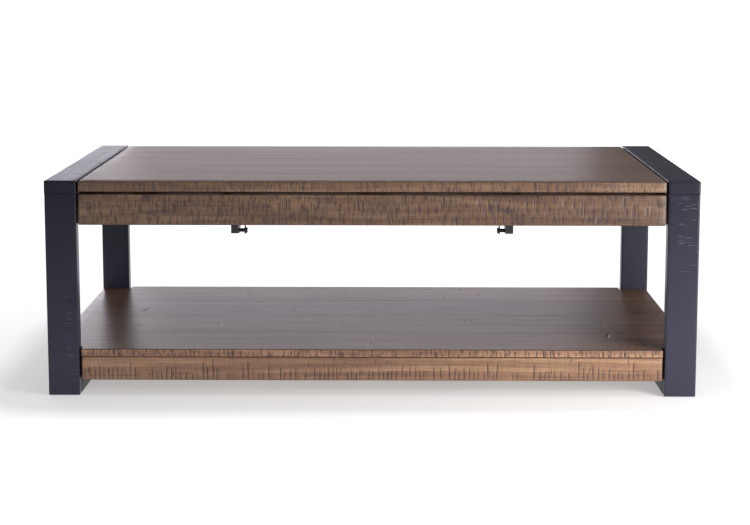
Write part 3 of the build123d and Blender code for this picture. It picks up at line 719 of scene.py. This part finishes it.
def end_frames(seed=120):
    """The painted planks of the two rings, scratched on their outer faces."""
    source = random.Random(seed)
    for side in ("left", "right"):
        for face in ("front", "rear"):
            node = f"{side}_{face}_post"
            seed += 1
            cuts = scratches(node, face, 24, source, Z, zone=POST_SCRATCH_ZONES[side])
            cuts += scratches(node, side, 12, source, Z, (0.003, 0.008))
            material = painted_wood(f"paint_{node}", seed, Z)
            board(node, "frame", material, PAINTED_RIM, cuts, [UPPER_JOINT], seed)
        for part in ("end_top_plank", "end_runner"):
            node = f"{side}_{part}"
            seed += 1
            cuts = scratches(node, side, 30, source, Y, (0.003, 0.008))
            seams = [FRONT_JOINT, REAR_JOINT]
            if part == "end_top_plank":
                cuts += scratches(node, "top", 14, source, Y)
                seams = [LOWER_JOINT]
            # The top planks and runners get no painted floor bounce light.
            material = painted_wood(f"paint_{node}", seed, Y, floor_bounce=PAINT)
            board(node, "frame", material, PAINTED_RIM, cuts, seams, seed)


# The eyes are set so that they just clear their posts when the raised top lets the spring close up.
# SPRING_KEEP is the share of its length that is left then. The eyes' angles are in degrees.
WIRE_RADIUS = 0.0014
COIL_RADIUS = 0.0076
COIL_TURNS = 16
POINTS_A_TURN = 14
FRONT_SHANK = 0.052
REAR_SHANK = 0.024
EYE_SHIFT = 0.0008
EYE_START = 60
EYE_SWEEP = 300
EYE_STEPS = 18


def box_middle(box):
    """The middle of a box, as a vector."""
    return (Vector(box[0]) + Vector(box[1])) / 2


def springs():
    """The coil springs, each of one wire: an eye, a long shank, the coil, a short shank, an eye."""
    for side in ("left", "right"):
        x = box_middle(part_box(f"{side}_spring")).x
        start = box_middle(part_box("spring_anchors"))
        end = box_middle(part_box(f"{side}_spring_stud"))
        start.x = end.x = x
        build_spring(side, start, end)


def build_spring(side, start, end):
    """One spring between the middles of its two posts."""
    length = (end - start).length
    along = (end - start).normalized()
    aside = Vector((1, 0, 0))
    over = aside.cross(along).normalized()

    def point(distance, sideways, upward):
        """A place by its distance from the start, and how far it is beside and above the middle line."""
        return start + along * distance + aside * sideways + over * upward

    def eye(distance, inward):
        """An open loop round a post. inward is 1 or -1, the way to the coil."""
        turns = [math.radians(EYE_START - EYE_SWEEP * step / EYE_STEPS) for step in range(EYE_STEPS + 1)]
        return [
            point(distance + inward * COIL_RADIUS * math.cos(turn), 0, COIL_RADIUS * math.sin(turn))
            for turn in turns
        ]

    route = eye(EYE_SHIFT, 1)
    steps = COIL_TURNS * POINTS_A_TURN
    for step in range(steps + 1):
        turn = math.tau * step / POINTS_A_TURN
        distance = FRONT_SHANK + (length - REAR_SHANK - FRONT_SHANK) * step / steps
        route.append(point(distance, COIL_RADIUS * math.sin(turn), COIL_RADIUS * math.cos(turn)))
    route += eye(length - EYE_SHIFT, -1)
    piece = wire(f"{side}_coil_spring", route, WIRE_RADIUS)
    piece.data.materials.append(STEELS["spring"])
    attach(piece, f"{side}_spring")
    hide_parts(f"{side}_spring")
    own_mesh(piece)


def wire(name, route, radius):
    """Round wire along a list of points, as a mesh."""
    curve = bpy.data.curves.new(name, "CURVE")
    curve.dimensions = "3D"
    curve.bevel_depth = radius
    curve.bevel_resolution = 3
    curve.use_fill_caps = True
    spline = curve.splines.new("POLY")
    spline.points.add(len(route) - 1)
    for target, place in zip(spline.points, route):
        target.co = (*place, 1)
    made = bpy.data.objects.new(name, curve)
    bpy.context.collection.objects.link(made)
    bpy.context.view_layer.update()
    mesh = bpy.data.meshes.new_from_object(made)
    bpy.data.objects.remove(made)
    mesh.name = name
    return smooth_object(name, mesh)


# Which way the grain runs in the boards that keep their CAD shape.
STAINED_GRAIN = {"side_apron": Y, "shelf_side_rail": Y, "end_boards": Y}
PLAIN_GRAIN = {
    "mechanism_rail": Y, "top_battens": Y, "shelf_cleats": Y,
    "apron_ledgers": X, "corner_blocks": X, "frame_dowels": X,
}


def carried_over():
    """Better materials for the CAD pieces that keep their own shape."""
    hardware = {
        ("screws",): STEELS["bright"],
        ("bracket", "brackets", "arm"): STEELS["coat"],
        ("pins", "anchors", "stud"): STEELS["dark"],
        ("bumpers",): RUBBER,
        ("bushes", "glides"): NYLON,
    }
    for number, piece in enumerate(sorted(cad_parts.values(), key=lambda item: item.name)):
        name = piece.name
        short = name.removeprefix("left_").removeprefix("right_")
        if short in STAINED_GRAIN:
            material = walnut(f"walnut_{name}", 200 + number, STAINED_GRAIN[short])
        elif short in PLAIN_GRAIN:
            material = inner_wood(f"inner_{name}", 300 + number, PLAIN_GRAIN[short])
        else:
            fitting = [made for endings, made in hardware.items() if short.endswith(endings)]
            if not fitting:
                continue
            material = fitting[0]
        for holder in piece.material_slots:
            holder.material = material


# ======== Stage ========
# The floor's glow rises from near to far over GLOW_RISE, along Y. Within SHADOW_PATCH_RIM of the table's
# outline it falls to SHADOW_PATCH_GLOW of that: a painted shadow round the table.
FLOOR_SIZE = 150
FLOOR_GREY = (0.75, 0.75, 0.75, 1)
GLOW_NEAR, GLOW_FAR = 0.62, 1.0
GLOW_RISE = (0.5, 3.5)
SHADOW_PATCH_GLOW = 0.64
SHADOW_PATCH_RIM = (0.10, 0.19)


def stage():
    """Pale floor that glows a little: less round the table, as a painted shadow, and more towards the back,
    to end in white.
    """
    bpy.ops.mesh.primitive_plane_add(size=FLOOR_SIZE)
    floor = bpy.context.object
    floor.name = "studio_floor"
    shader = Shader("pale_floor")
    glow = shader.span(shader.part(shader.place(), Y), *GLOW_RISE, GLOW_NEAR, GLOW_FAR)
    outside = []
    for axis in (X, Y):
        half = cad_box[1][axis]
        distance = shader.math("ABSOLUTE", shader.part(shader.place(), axis))
        distance = shader.math("SUBTRACT", distance, half, clamp=True)
        outside.append(shader.math("MULTIPLY", distance, distance))
    distance = shader.math("SQRT", shader.math("ADD", *outside))
    # Painted shadow: the glow is dimmed round the table's outline.
    glow = shader.math("MULTIPLY", glow, shader.span(distance, *SHADOW_PATCH_RIM, SHADOW_PATCH_GLOW, 1.0))
    shader.finish(
        Base_Color=FLOOR_GREY, Roughness=0.9, Specular_IOR_Level=0.0,
        Emission_Color=(1, 1, 1, 1), Emission_Strength=glow,
    )
    floor.data.materials.append(shader.material)


def area_light(name, place, target, size, radiance, colour=(1, 1, 1)):
    """Soft rectangular light aimed at a point."""
    light = bpy.data.lights.new(name, "AREA")
    light.shape = "RECTANGLE"
    light.size, light.size_y = size
    light.energy = radiance * math.pi * size[0] * size[1]
    light.color = colour
    lamp = bpy.data.objects.new(name, light)
    bpy.context.collection.objects.link(lamp)
    lamp.location = place
    lamp.rotation_euler = (Vector(target) - Vector(place)).to_track_quat("-Z", "Y").to_euler()


def lights():
    """Weak cool dome, a key low in front on the right, a softbox overhead and two cards behind."""
    world = bpy.data.worlds.new("studio")
    world.use_nodes = True
    background = world.node_tree.nodes["Background"]
    background.inputs["Color"].default_value = (0.88, 0.90, 1.0, 1)
    background.inputs["Strength"].default_value = 0.2
    bpy.context.scene.world = world
    area_light("key_right", (1.6, -1.4, 0.5), (0.5, -0.35, 0.2), (0.9, 0.7), 17.0, (1.0, 0.98, 0.94))
    area_light("overhead", (0.0, 0.3, 3.0), (0.0, 0.3, 0.0), (4.0, 3.4), 1.0)
    area_light("card_behind", (-0.7, 4.2, 0.8), (-0.7, 0, 0.4), (3.4, 1.0), 1.8, (0.94, 0.90, 1.0))
    area_light("card_left", (-1.9, 4.1, 0.62), (-0.7, 0, 0.4), (1.4, 0.6), 3.4, (0.95, 0.93, 1.0))


def camera():
    """Camera at the picture's place, with its slight shift."""
    data = bpy.data.cameras.new("camera")
    data.sensor_width = SENSOR_WIDTH
    data.lens = FOCAL_LENGTH
    data.shift_y = LENS_SHIFT
    data.clip_end = 200
    eye = bpy.data.objects.new("camera", data)
    bpy.context.collection.objects.link(eye)
    eye.location = CAMERA_PLACE
    pitch, yaw = math.radians(90 - CAMERA_PITCH), math.radians(-CAMERA_YAW)
    eye.rotation_euler = (pitch, math.radians(-CAMERA_ROLL), yaw)
    bpy.context.scene.camera = eye


STEELS = {
    "coat": powder_coat(),
    "dark": steel("blackened_steel", (0.02, 0.02, 0.022, 1), (0.06, 0.06, 0.065, 1), 0.3),
    "spring": steel("spring_steel", (0.03, 0.03, 0.033, 1), (0.09, 0.09, 0.095, 1), 0.28),
    "bright": steel("zinc_plated_steel", (0.38, 0.38, 0.39, 1), (0.6, 0.6, 0.6, 1), 0.25),
}
RUBBER = moulded("bumper_rubber", (0.012, 0.012, 0.012, 1), (0.022, 0.022, 0.022, 1), 0.6)
NYLON = moulded("moulded_nylon", (0.36, 0.35, 0.32, 1), (0.5, 0.49, 0.46, 1), 0.45)

lift_top()
shelf()
apron()
end_frames()
springs()
carried_over()
stage()
lights()
camera()
bpy.context.scene.view_settings.view_transform = "Standard"
